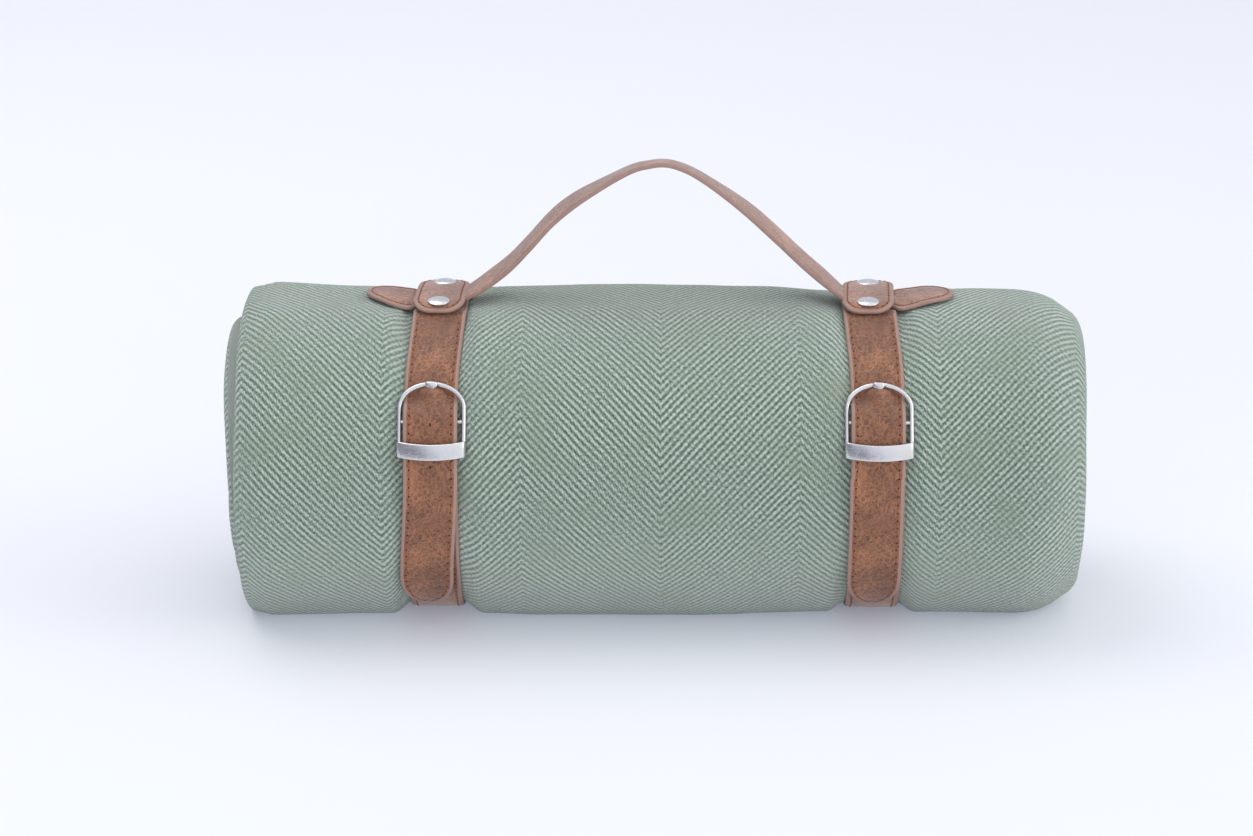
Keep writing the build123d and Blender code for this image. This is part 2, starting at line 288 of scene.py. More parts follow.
def wool_material():
    """Brushed herringbone twill: pale mint ribs over sage, in zigzag columns."""
    n = Nodes("wool_herringbone")
    u, v, _ = n.separate(n.attribute("weave"))
    where = n.place()
    warped = n.times(n.minus(n.noise(where, 60.0), 0.5), 0.0016)
    # A zigzag across the columns turns straight ribs into chevrons.
    column = n.math("PINGPONG", n.minus(u, COLUMN_START), COLUMN)
    rise = n.plus(n.minus(v, n.times(column, 1.06)), warped)
    wave = n.math("SINE", n.times(rise, 2 * math.pi / RIB_PITCH))
    across = n.plus(u, n.times(n.noise(n.combine(u, v, 0.3), 420.0, 2.0), 0.0022))
    slanted = n.plus(across, n.times(rise, 0.45))
    yarn = n.math("SINE", n.times(slanted, 2 * math.pi / YARN_PITCH))
    grain = n.noise(n.combine(u, v, 0.0), 640.0, 5.0, 0.78)
    fleck = n.noise(n.combine(u, n.times(v, 0.6), 0.7), 1400.0, 3.0, 0.7)
    clear = n.ramp(n.noise(where, 30.0), (0.35, 0.55), (0.62, 0.82))
    ribs = n.times(n.times(wave, 0.5), clear)
    rough = n.times(n.minus(grain, 0.5), 2.2)
    mixed = n.plus(n.plus(ribs, 0.56), n.plus(n.times(yarn, 0.12), rough))
    mixed = n.plus(mixed, n.times(n.minus(fleck, 0.5), 1.9), True)
    pale = n.ramp(mixed, (0.0, (0.056, 0.094, 0.058)), (0.30, (0.125, 0.188, 0.128)),
                  (0.56, (0.245, 0.322, 0.258)), (0.80, (0.400, 0.490, 0.415)), (1.0, (0.55, 0.64, 0.56)))
    colour = n.mix(n.times(n.noise(where, 9.0, 2.0), 0.22), pale, (0.215, 0.290, 0.215))
    colour = n.mix(n.ramp(n.noise(where, 38.0), (0.52, 0.0), (0.78, 0.5)), colour, (0.23, 0.285, 0.19))
    fibre = n.plus(n.times(n.noise(where, 2600.0, 3.0, 0.65), 0.35), mixed)
    return n.finish(colour, 0.92, fibre, 0.7, 0.0011, Sheen_Weight=0.62, Sheen_Roughness=0.5,
                    Specular_IOR_Level=0.12)


def leather_material(name, base, vein, dark, rough=0.44):
    """Worn coated leather: mottled brown, a net of lighter veins, fine pores."""
    n = Nodes(name)
    where = n.attribute("skin")
    moved = n.warp(where, where, 95.0, 3.0, 0.011)
    # A net of fine curved veins, with some broken ones crossing it.
    net = n.cell_edges(n.warp(moved, where, 620.0, 2.0, 0.0022), 310.0)
    web = n.ramp(net, (0.0, 1.0), (0.045, 0.65), (0.10, 0.0))
    ridge = n.math("ABSOLUTE", n.minus(n.noise(moved, 300.0, 4.0, 0.6), 0.5))
    line = n.math("MAXIMUM", web, n.ramp(ridge, (0.0, 0.8), (0.02, 0.3), (0.05, 0.0)))
    pore = n.ramp(n.cell_edges(moved, 900.0), (0.0, 0.0), (0.22, 1.0))
    blotch = n.noise(moved, 120.0, 5.0, 0.68)
    speck = n.noise(where, 1250.0, 3.0, 0.7)
    broad = n.noise(where, 34.0)
    # Slanting rubbed streaks, where the coating has been creased.
    along, wide, _ = n.separate(moved)
    slant = n.combine(n.times(n.plus(along, wide), 160.0),
                      n.times(n.minus(along, wide), 900.0), 0.0)
    streak = n.times(n.ramp(n.noise(slant, 1.0, 3.0, 0.6), (0.52, 0.0), (0.66, 1.0)),
                    n.ramp(n.noise(where, 22.0, 2.0), (0.46, 0.0), (0.60, 0.8)))
    strength = n.times(line, n.ramp(broad, (0.35, 0.35), (0.6, 1.0)))
    colour = n.mix(n.ramp(blotch, (0.32, 0.0), (0.66, 1.0)), dark, base)
    colour = n.mix(n.times(strength, 0.72), colour, vein)
    colour = n.mix(n.times(streak, 0.75), colour, vein)
    colour = n.mix(n.ramp(speck, (0.56, 0.0), (0.76, 0.3)), colour, dark)
    colour = n.mix(n.ramp(broad, (0.55, 0.0), (0.75, 0.32)), colour, vein)
    height = n.plus(n.times(pore, 0.5), n.times(line, -0.55))
    height = n.plus(height, n.times(blotch, 0.9))
    roughness = n.ramp(blotch, (0.3, rough + 0.12), (0.7, rough - 0.05))
    return n.finish(colour, roughness, height, 0.42, 0.0004, Specular_IOR_Level=0.5,
                    Sheen_Weight=0.42, Sheen_Roughness=0.35)


def paint_material():
    """Soft pinkish-brown edge paint."""
    n = Nodes("edge_paint")
    where = n.attribute("skin")
    tone = n.noise(where, 240.0, 4.0, 0.6)
    colour = n.mix(tone, (0.265, 0.155, 0.122), (0.375, 0.240, 0.200))
    return n.finish(colour, 0.52, n.noise(where, 900.0, 3.0), 0.25, 0.0002)


def hole_shade_material():
    """Painted shade for needle holes and punched holes: a dark colour for the discs laid over them, in place
    of the shadow inside a hole.
    """
    n = Nodes("stitch_hole_painted_shade")
    where = n.place()
    return n.finish(n.mix(n.noise(where, 600.0, 2.0), (0.018, 0.007, 0.004), (0.045, 0.018, 0.010)), 0.8,
                    n.noise(where, 1500.0, 2.0), 0.2, 0.0002)


def thread_material():
    """Twisted orange-brown sewing thread."""
    n = Nodes("stitch_thread")
    where = n.place()
    wave = n.add("TexWave", {"wave_type": "BANDS"}, Vector=where, Scale=900.0, Distortion=2.0)
    twist = wave.outputs["Fac"]
    colour = n.mix(twist, (0.20, 0.066, 0.026), (0.36, 0.135, 0.056))
    return n.finish(colour, 0.6, twist, 0.4, 0.0002)


def metal_material():
    """Nickel plate with a fine brushed grain and stray scratches."""
    n = Nodes("nickel_plate")
    where = n.place()
    lengthways = n.add("Mapping", None, Vector=where, Scale=(60.0, 900.0, 900.0)).outputs[0]
    brushed = n.noise(lengthways, 1.0, 4.0, 0.7)
    smudge = n.noise(where, 190.0, 4.0, 0.6)
    tiles = n.add("Mapping", None, Vector=where, Scale=(120.0, 300.0, 420.0)).outputs[0]
    mark = n.ramp(n.cell_edges(tiles, 1.0), (0.0, 1.0), (0.018, 0.0))
    colour = n.mix(smudge, (0.66, 0.65, 0.64), (0.82, 0.81, 0.805))
    roughness = n.plus(n.ramp(smudge, (0.3, 0.17), (0.7, 0.24)), n.times(mark, 0.25))
    height = n.plus(n.times(brushed, 0.5), n.times(mark, -0.8))
    return n.finish(colour, roughness, height, 0.05, 0.0001, Metallic=1.0)


WOOL = wool_material()
LEATHER_FACE = leather_material("brown_leather_face", base=(0.178, 0.070, 0.036),
                                vein=(0.47, 0.200, 0.092), dark=(0.090, 0.036, 0.022))
LEATHER_BACK = leather_material("brown_leather_lining", base=(0.190, 0.090, 0.062),
                                vein=(0.25, 0.125, 0.085), dark=(0.125, 0.058, 0.042), rough=0.55)
PAINT = paint_material()
THREAD = thread_material()
HOLE_SHADE = hole_shade_material()
METAL = metal_material()
# A paler, pinker copy of the brown leather for the loops, paddles and grip, which face upwards: the extra
# paleness is painted light from above.
TOP_LIT_LEATHER = leather_material("brown_leather_top_lit", base=(0.245, 0.112, 0.074),
                                  vein=(0.56, 0.280, 0.172), dark=(0.145, 0.068, 0.048))
# Face, edge and underside of a strip.
STRAP_PLIES = [LEATHER_FACE, PAINT, LEATHER_BACK]
TOP_LIT_PLIES = [TOP_LIT_LEATHER, PAINT, LEATHER_BACK]


# ---- camera, light, floor

def look_from(target, azimuth, elevation, distance, lens, roll):
    """Camera that looks at a target in metres; azimuth 0 is the front, and angles are in degrees."""
    camera = bpy.data.cameras.new("camera")
    camera.lens = lens
    camera.clip_end = 50.0
    obj = linked("camera", camera)
    a, e = math.radians(azimuth), math.radians(elevation)
    away = Vector((math.sin(a) * math.cos(e), -math.cos(a) * math.cos(e), math.sin(e)))
    obj.location = Vector(target) + away * distance
    turn = (-away).to_track_quat("-Z", "Y").to_matrix().to_4x4()
    obj.matrix_world = Matrix.Translation(obj.location) @ turn @ Matrix.Rotation(math.radians(roll), 4, "Z")
    bpy.context.scene.camera = obj


def area_light(name, place, target, size, power, colour):
    light = bpy.data.lights.new(name, "AREA")
    light.shape = "RECTANGLE"
    light.size, light.size_y = size
    light.energy = power
    light.color = colour
    obj = linked(name, light)
    obj.location = place
    obj.rotation_euler = (Vector(target) - Vector(place)).to_track_quat("-Z", "Y").to_euler()
    return obj


def sweep_paper():
    """Faintly mottled paper with a bluish glow of its own, which keeps the shadow pale."""
    n = Nodes("sweep_paper")
    where = n.place()
    colour = n.mix(n.noise(where, 3.0, 2.0), (0.640, 0.635, 0.648), (0.655, 0.650, 0.662))
    return n.finish(colour, 0.8, n.noise(where, 400.0, 2.0), 0.03, 0.0005,
                    Emission_Color=(0.74, 0.81, 1.0, 1.0), Emission_Strength=0.22)


def sky():
    """Soft light from all round, brighter from one side and from above."""
    world = bpy.data.worlds.new("studio")
    bpy.context.scene.world = world
    world.use_nodes = True
    tree = world.node_tree
    place = tree.nodes.new("ShaderNodeTexCoord")
    facing = tree.nodes.new("ShaderNodeVectorMath")
    facing.operation = "DOT_PRODUCT"
    facing.inputs[1].default_value = (0.76, -0.12, 0.64)
    fall = tree.nodes.new("ShaderNodeValToRGB")
    set_stops(fall.color_ramp.elements, ((0.0, (0.26, 0.27, 0.33)), (0.32, (0.76, 0.785, 0.90)),
                                         (0.75, (0.96, 0.985, 1.0))))
    tree.links.new(place.outputs["Generated"], facing.inputs[0])
    tree.links.new(facing.outputs["Value"], fall.inputs["Fac"])
    tree.links.new(fall.outputs["Color"], tree.nodes["Background"].inputs["Color"])
    tree.nodes["Background"].inputs["Strength"].default_value = 1.1


def studio():
    """A pale sweep with a far wall, a soft sky and three large soft lights. Places are in metres."""
    half = 7.0
    rows = [(-half, 0.0), (3.2, 0.0), (3.8, 0.04), (4.3, 0.2), (4.65, 0.5), (4.85, 0.9),
            (4.9, 1.4), (4.9, 6.0)]
    points = [(x / MM, y / MM, z / MM) for y, z in rows for x in (-half, half)]
    faces = [(2 * i, 2 * i + 1, 2 * i + 3, 2 * i + 2) for i in range(len(rows) - 1)]
    sweep = make_mesh("floor_sweep", points, faces, [sweep_paper()])
    curve = sweep.modifiers.new("curve", "SUBSURF")
    curve.levels = curve.render_levels = 3
    sky()
    area_light("key", (-1.0, 0.6, 2.3), (0, 0, 0.1), (2.2, 1.8), 24.0, (1.0, 0.985, 0.94))
    fill = area_light("fill", (-0.4, -2.8, 0.7), (0, 0, 0.0), (3.2, 1.2), 27.0, (0.97, 0.985, 1.0))
    fill.visible_glossy = False
    area_light("side", (2.2, -0.8, 1.3), (0, 0, 0.1), (1.6, 1.6), 13.0, (0.98, 0.99, 1.0))
    bpy.context.scene.view_settings.view_transform = "Standard"


look_from((-0.0162, 0.0, 0.1084), 0.62, 18.35, 2.303, 115.4, -0.08)
studio()


# ---- the rolled blanket

PACK = 13.3  # thickness of the folded cloth
FREE_END = 228.0  # angle of the cloth's loose outer edge
STEPS = 144  # rows of points to one turn
TURNS = 6.35
GROOVE = 15.0  # depth at which neighbouring turns touch
ROLL_R = 92.0


def pack_radius(phi):
    """Outer radius of the folded pack after turning phi degrees from its free end."""
    a = np.radians(phi)
    compressed = 3.2 * (1 - smooth(phi, 0.0, 26.0))
    return ROLL_R + PACK * (0.5 - phi / 360.0) - PACK / math.pi * np.sin(a) - compressed


def waist(x):
    """How far the two straps squeeze the roll: 1 under a strap, 0 away from it."""
    away = np.minimum(np.abs(x - STRAP_X), np.abs(x + STRAP_X))
    return 1 - smooth(away, 14.0, 26.0)


def lean(x, outer):
    """Inward bow of the cloth towards the two ends of the roll; outer is 1 on the outermost turn."""
    right = np.clip((x - 202.0) / 40.0, 0, None) ** 2.2 * 17.0
    left = np.clip((-x - 217.0) / 18.0, 0, None) ** 2 * 6.0
    return (right + left) * (0.35 + 0.65 * outer)


def roll_point(phi, radius, x, share):
    """Point of the blanket in mm. share is 1 on the outermost surface and less further in."""
    theta = math.radians(FREE_END + phi)
    taper = -1.5 * (x / 250.0)
    bulge = 0.9 * math.cos(x / 125.0 * math.pi) * share
    r = radius + (taper + bulge) * share - lean(x, share)
    # The roll sags a little where it meets the ground in front.
    turned = (FREE_END + phi + 180.0) % 360.0 - 180.0
    sag = math.exp(-(((turned + 69.0) / 14.0) ** 2)) * share
    squeeze = waist(x) * share
    target = RING - LEATHER / 2 - 0.15 + 2.0 * sag
    r += 2.6 * sag
    if radius > 70 and squeeze > 0:
        r = r + (min(r, target) - r) * squeeze
    lump = noise.noise(Vector((x * 0.018, math.cos(theta) * 1.4, math.sin(theta) * 1.4)))
    fine = noise.noise(Vector((x * 0.05 + 7, math.cos(theta) * 4.5, math.sin(theta) * 4.5)))
    r += (lump * 1.3 + fine * 0.45) * share * (1 - 0.85 * waist(x))
    y = -r * math.cos(theta)
    z = AXIS_Z + r * math.sin(theta)
    z = 0.5 * (z + math.sqrt(z * z + 2.2))
    if z > 120:
        top = SEAT_Z - 0.5 + 2.8 * smooth(abs(abs(x) - STRAP_X), 20.0, 40.0)
        z = top - 0.5 * ((top - z) + math.sqrt((top - z) ** 2 + 1.2))
    return (x, y, z)


def end_place(side, phi):
    """X of the cloth's end (its nose) at one side, which wanders a little from turn to turn."""
    turn = phi / 360.0
    theta = math.radians(FREE_END + phi)
    wander = noise.noise(Vector((math.cos(theta) * 1.3, math.sin(theta) * 1.3, turn * 1.7 + 5 * side)))
    if side < 0:
        inner = 8.0 * smooth(turn, 0.8, 1.6) - 4.0 * smooth(turn, 3.5, 6.0)
        return -233.5 - inner - 2.4 * wander
    inner = 8.0 * smooth(turn, 0.7, 1.5) - 5.0 * smooth(turn, 2.5, 6.0)
    return 242.0 - inner + 2.0 * wander


def nose(side):
    """Cross-section of the pack's end as (depth back from the end, place across the pack).
    One side ends in a hem over a fold, the other in a fold over a hem."""
    split = 1 / 3
    fold = 0.5 - split if side < 0 else split - 0.5
    lobes = [(0.5, fold), (fold, -0.5)]
    points = [(GROOVE, 0.5)]
    for k, (high, low) in enumerate(lobes):
        middle, half = (high + low) / 2, (high - low) / 2
        for degrees in (78, 50, 22, -8, -38, -66, -84):
            a = math.radians(degrees)
            across = middle + half * 0.94 * powered(math.sin(a), 0.85)
            depth = half * PACK * 1.15 * (1 - math.cos(a)) + (0.0 if half > 0.2 else 1.2)
            points.append((depth, across))
        if k == 0:
            points.append((5.5, low))
    points.append((GROOVE, -0.5))
    return points


def build_blanket():
    """The roll as one closed skin: outer turn, a grooved nose at each end, and the loose outer edge."""
    points, weave, faces, index = [], [], [], {}
    stations = int(TURNS * STEPS)
    noses = {-1: nose(-1), 1: nose(1)}
    arc, arcs = 0.0, []
    for i in range(stations + STEPS + 1):
        phi = 360.0 * i / STEPS
        arcs.append(arc)
        arc += float(pack_radius(phi)) * math.radians(360.0 / STEPS)

    def add(key, point, u, v):
        index[key] = len(points)
        points.append(point)
        weave.append((u * MM, v * MM, 0.0))

    for side in (-1, 1):
        profile = noses[side]
        for i in range(stations + 1):
            phi = 360.0 * i / STEPS
            outer, inner = float(pack_radius(phi)), max(float(pack_radius(phi + 360.0)), 1.0)
            thick = outer - inner
            tip = end_place(side, phi)
            share_out = 1.0 if i <= STEPS else 1.0 / (1.0 + 1.2 * (i / STEPS - 1))
            walked, last = 0.0, profile[0]
            for k, (depth, across) in enumerate(profile):
                share = share_out if across > -0.45 else share_out * 0.8
                walked += math.hypot(last[0] - depth, (last[1] - across) * thick)
                last = (depth, across)
                if k == 0 and i >= STEPS:
                    continue
                point = roll_point(phi, (outer + inner) / 2 + across * thick, tip - side * depth, share)
                u = tip - side * GROOVE + side * walked
                key = ("n", side, i, k) if k else ("s", side, i)
                add(("g", side, i + STEPS) if k == len(profile) - 1 else key, point, u, arcs[i])

    # Across the outer skin, from the left nose to the right one.
    first, last = end_place(-1, 0.0) + GROOVE, end_place(1, 0.0) - GROOVE
    columns = []
    x = first + 3.0
    while x < last - 2.0:
        columns.append(x)
        near = min(abs(x - STRAP_X), abs(x + STRAP_X))
        x += 1.8 if near < 30 else 4.5
    for i in range(STEPS + 1):
        phi = 360.0 * i / STEPS
        left, right = end_place(-1, phi) + GROOVE, end_place(1, phi) - GROOVE
        if i == STEPS:
            for side in (-1, 1):
                index[("s", side, i)] = index[("g", side, STEPS)]
        for c in range(len(columns)):
            x = left + (right - left) * (columns[c] - first) / (last - first)
            add(("k", i, c), roll_point(phi, float(pack_radius(phi)), x, 1.0), x, arcs[i])

    def skin_row(i):
        across = [("k", i, c) for c in range(len(columns))]
        return [index[key] for key in (("s", -1, i), *across, ("s", 1, i))]

    def nose_row(side, i):
        first = ("s", side, i) if i < STEPS else ("g", side, i)
        middle = [("n", side, i, k) for k in range(1, len(noses[side]) - 1)]
        return [index[key] for key in (first, *middle, ("g", side, i + STEPS))]

    def band(a, b, turned=False):
        """Faces between two rows of points."""
        for k in range(len(a) - 1):
            face = (a[k], a[k + 1], b[k + 1], b[k])
            faces.append((face[0], *face[:0:-1]) if turned else face)

    for i in range(STEPS):
        band(skin_row(i), skin_row(i + 1))
    for side in (-1, 1):
        for i in range(stations):
            band(nose_row(side, i), nose_row(side, i + 1), side < 0)

    # The pack's free end, one turn out: a strip between the skin and the turn below it.
    high, low = skin_row(0), skin_row(STEPS)
    mids = []
    for c in range(1, len(high) - 1):
        p, q = points[high[c]], points[low[c]]
        mids.append([])
        for t, push in ((0.25, 1.5), (0.5, 2.0), (0.75, 1.4)):
            m = [p[j] + (q[j] - p[j]) * t for j in range(3)]
            m[1] -= math.sin(math.radians(FREE_END)) * push
            m[2] -= math.cos(math.radians(FREE_END)) * push
            mids[-1].append(len(points))
            points.append(tuple(m))
            weave.append((weave[high[c]][0], weave[high[c]][1] - t * PACK * MM, 0.0))
    chains = [[high[c + 1], *mids[c], low[c + 1]] for c in range(len(mids))]
    for a, b in zip(chains, chains[1:]):
        band(a, b)
    for side, c in ((-1, 0), (1, len(mids) - 1)):
        rim = nose_row(side, 0)
        ends = [rim[0], *chains[c], rim[-1]]
        loop = rim + ends[:0:-1]
        loop = [v for n, v in enumerate(loop) if v != loop[n - 1]]
        faces.append(tuple(loop if side < 0 else reversed(loop)))

    # The start of the pack, deep in the middle of each end.
    for side in (-1, 1):
        ring = [index[("g", side, i)] for i in range(stations, stations + STEPS + 1)]
        rim = nose_row(side, stations)
        centre = len(points)
        p = np.mean([points[v] for v in ring], axis=0)
        points.append((p[0] - side * 6.0, p[1], p[2]))
        weave.append((0.0, 0.0, 0.0))
        for a, b in zip(ring, ring[1:]):
            faces.append((a, b, centre) if side < 0 else (b, a, centre))
        rim.append(centre)
        faces.append(tuple(rim if side < 0 else reversed(rim)))

    blanket = make_mesh("blanket", points, faces, [WOOL], None, {"weave": weave})
    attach(blanket, "carrier")
    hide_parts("blanket")


# ---- leather strips

# Half of a strip's edge, as (inset from the outline, height over the middle of the two plies).
EDGE = [(1.9, 1.2), (1.25, 1.17), (0.6, 1.03), (0.15, 0.72), (0.0, 0.32), (0.16, 0.0)]
SECTION = EDGE + [(inset, -height) for inset, height in reversed(EDGE[:-1])]


def rounded_end(half, radius_along, count):
    """Outline of a strip's rounded end: (s, w, inward s, inward w) from the very tip to the full width."""
    rows = []
    for k in range(count + 1):
        a = 0.5 * math.pi * k / count
        s = radius_along * (1 - math.cos(a))
        w = half * math.sin(a)
        ns, nw = half * math.cos(a), -radius_along * math.sin(a)
        size = math.hypot(ns, nw)
        rows.append((s, w, ns / size, nw / size))
    return rows


def corner_end(half, radius, count):
    """Outline of a strip's end with two rounded corners and a straight middle."""
    rows = [(0.0, (half - radius) * k / 3, 1.0, 0.0) for k in range(3)]
    for k in range(count + 1):
        a = 0.5 * math.pi * k / count
        s, w = radius * (1 - math.cos(a)), half - radius + radius * math.sin(a)
        rows.append((s, w, math.cos(a), -math.sin(a)))
    return rows


def plate_rows(half, radius, length, spans, corner_steps=6):
    """Outline of a plate that has rounded corners at both ends."""
    end = corner_end(half, radius, corner_steps)
    far_end = [(length - s, w, -ns, nw) for s, w, ns, nw in reversed(end)]
    straight = length - 2 * radius
    return end + [(radius + straight * k / spans, half, 0.0, -1.0) for k in range(1, spans)] + far_end


def strip(name, rows, place, materials, columns, crown):
    """Two-ply leather strip. rows is the outline on one side; place(s, w, h) gives the point in mm.
    A row with w = 0 is the tip itself, so both sides meet there."""
    points, skin, faces, slots = [], [], [], []
    rings = []
    widest = max(row[1] for row in rows)
    for s, w, ns, nw in rows:
        def put(inset, share, h, layer):
            """Number of a new point, at an inset from the outline and a share of the way across."""
            at, across = s + inset * ns, share * max(w + inset * nw, 0.0)
            points.append(place(at, across, h))
            skin.append((at * MM, across * MM, layer))
            return len(points) - 1

        ring = []
        for sign in (1, -1):
            for inset, height in SECTION[::sign]:
                inset = min(inset, w) if ns < 0.5 else inset
                ring.append(put(inset, sign, height, 0.3 if abs(height) < 1.1 else 0.0))
            if sign > 0:
                ring += [put(SECTION[-1][0], 1 - 2 * c / columns, -1.2, 0.6) for c in range(1, columns)]
        for c in range(1, columns):
            share = 2 * c / columns - 1
            lift = crown * (w / widest) * (1 - share ** 2)
            ring.append(put(EDGE[0][0], share, 1.2 + lift, 0.0))
        rings.append(ring)
    # Round a ring come one edge, the underside, the other edge and the face.
    edge, size = len(SECTION) - 1, len(rings[0])
    bands = [1] * edge + [2] * columns + [1] * edge + [0] * columns
    steps = [(k, (k + 1) % size) for k in range(size)]
    for a, b in zip(rings, rings[1:]):
        faces += [(a[k], b[k], b[m], a[m]) for k, m in steps]
        slots += bands
    faces += [tuple(rings[0]), tuple(reversed(rings[-1]))]
    slots += [1, 1]
    obj = make_mesh(name, points, faces, materials, slots, {"skin": skin})
    clean(obj)
    return obj


def clean(obj):
    """Joins doubled points and turns every face outwards."""
    mesh = bmesh.new()
    mesh.from_mesh(obj.data)
    bmesh.ops.remove_doubles(mesh, verts=mesh.verts, dist=0.02 * MM)
    bmesh.ops.dissolve_degenerate(mesh, edges=mesh.edges, dist=0.001 * MM)
    bmesh.ops.recalc_face_normals(mesh, faces=mesh.faces)
    mesh.to_mesh(obj.data)
    mesh.free()


# Cross-sections of one stitch, as (share of its length, rise, share of its radius).
STITCH = ((0.0, -0.35, 0.45), (0.14, 0.02, 0.85), (0.5, 0.2, 1.0), (0.86, 0.02, 0.85), (1.0, -0.35, 0.45))


def stitches(name, runs, body, stitch=3.8, pitch=5.0, radius=0.42, seed=3, holes=()):
    """Thread showing along each run, with a dark disc of painted shade for the needle hole after each stitch.
    A run is a list of (point, outward normal) in mm; holes adds (point, outward, radius, slot)."""
    points, faces, slots = [], [], []

    def dot(p, n, size, slot):
        ahead = n.cross(Vector((1.0, 0.0, 0.02))).normalized()
        side = n.cross(ahead)
        first = len(points)
        for r, lift in ((1.0, -0.2), (0.9, 0.10), (0.45, 0.13)):
            for k in range(8):
                a = k * math.pi / 4
                out = (ahead * math.cos(a) + side * math.sin(a)) * r * size
                points.append(tuple(p + out + n * lift * min(size, 0.6)))
        disc = bar_faces([range(start, start + 8) for start in (first, first + 8, first + 16)])
        del disc[-2]  # its underside stays open
        faces.extend(disc)
        slots.extend([slot] * len(disc))

    chance = random.Random(seed)
    for run in runs:
        line = np.array([p for p, _ in run], float)
        out = np.array([n for _, n in run], float)
        along = lengths(line)
        at = pitch / 2
        while at + stitch < along[-1]:
            wobble = chance.uniform(-0.12, 0.12)
            rings = []
            for t, rise, r in STITCH:
                here = at + t * stitch
                p, q, n = sample(here, along, line), sample(here + 0.4, along, line), sample(here, along, out)
                n /= np.linalg.norm(n)
                ahead = (q - p) / max(np.linalg.norm(q - p), 1e-9)
                side = np.cross(ahead, n)
                ring = []
                for k in range(6):
                    a = k * math.pi / 3
                    sideways = math.cos(a) * r * radius + wobble * (t - 0.5)
                    outwards = math.sin(a) * r * radius * 0.8 + rise * radius
                    ring.append(len(points))
                    points.append(tuple(p + side * sideways + n * outwards))
                rings.append(ring)
            faces += bar_faces(rings)
            slots += [0] * 26
            hole = at - 0.5 * (pitch - stitch)
            p, n = Vector(sample(hole, along, line)), Vector(sample(hole, along, out)).normalized()
            # A dark disc of painted shade stands in for the needle hole.
            dot(p - n * 0.06, n, 0.62, 1)
            at += pitch + chance.uniform(-0.15, 0.15)
    for p, n, size, slot in holes:
        dot(Vector(p), Vector(n).normalized(), size, slot)
    obj = make_mesh(name, points, faces, [THREAD, HOLE_SHADE], slots)
    clean(obj)
    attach(obj, body)
    return obj


def seam_runs(rows, place, inset, skip=lambda s: False):
    """Runs of stitching parallel to a strip's outline, split where skip(s) is true."""
    side = [(s + inset * ns, max(w + inset * nw, 0.0)) for s, w, ns, nw in rows]
    runs = []
    for sign in (1, -1):
        for skipped, part in itertools.groupby(side, key=lambda at: skip(at[0])):
            ends = [(np.array(place(s, sign * w, 1.32)), np.array(place(s, sign * w, 0.0))) for s, w in part]
            if not skipped and len(ends) > 3:
                runs.append([(here, here - under) for here, under in ends])
    return runs


# ---- straps

TIP_LENGTH = 26.0


def strap_line():
    """Middle line of a strap from its tip to the end of the turned-back piece, as (y, z) points."""
    line = [polar(a, OVER + 2.8 * smooth(-a, 14.0, 52.0) ** 1.5) for a in np.arange(-51.0, -11.0, 6.0)]
    line += [polar(-2, OVER + 1.6), polar(8, OVER + 2.6), polar(20, OVER + 3.4)]
    line += [from_pin(*at) for at in ((0, 4.85), (3.5, 4.4), (7, 2.6), (10, -0.1), (12.6, -2.6))]
    for a in np.arange(39.0, 349.0, 3.0):
        off = abs(a - 90.0)
        lift = 2.7 * smooth(off, 8.0, 12.0) * (1 - smooth(off, 14.0, 30.0))
        lift += 2.0 * math.exp(-(((a - 291.0) / 14.0) ** 2))
        line.append(polar(a, RING + lift))
    line += [polar(-2, RING + 1.6), polar(8, RING + 2.6), polar(20, RING + 3.3)]
    line += [from_pin(2.25 * math.sin(a), 2.25 * math.cos(a)) for a in np.linspace(0, math.pi, 7)]
    line += [polar(17, RING + 0.6), polar(10, RING), polar(5, RING)]
    return line


def strap_drift(y, z, side, s):
    """Sideways drift of a strap: its top is pulled inwards by the handle, and its loose tip wanders out."""
    theta = math.degrees(math.atan2(z - AXIS_Z, -y))
    theta = theta + 360 if theta < -110 else theta
    top = smooth(theta, 40.0, 82.0) * (1 - smooth(theta, 100.0, 150.0))
    drift = -side * 2.9 * top
    if s < 95.0:
        drift += -3.8 * (1 - smooth(s, 20.0, 95.0)) if side < 0 else -0.6
    return drift


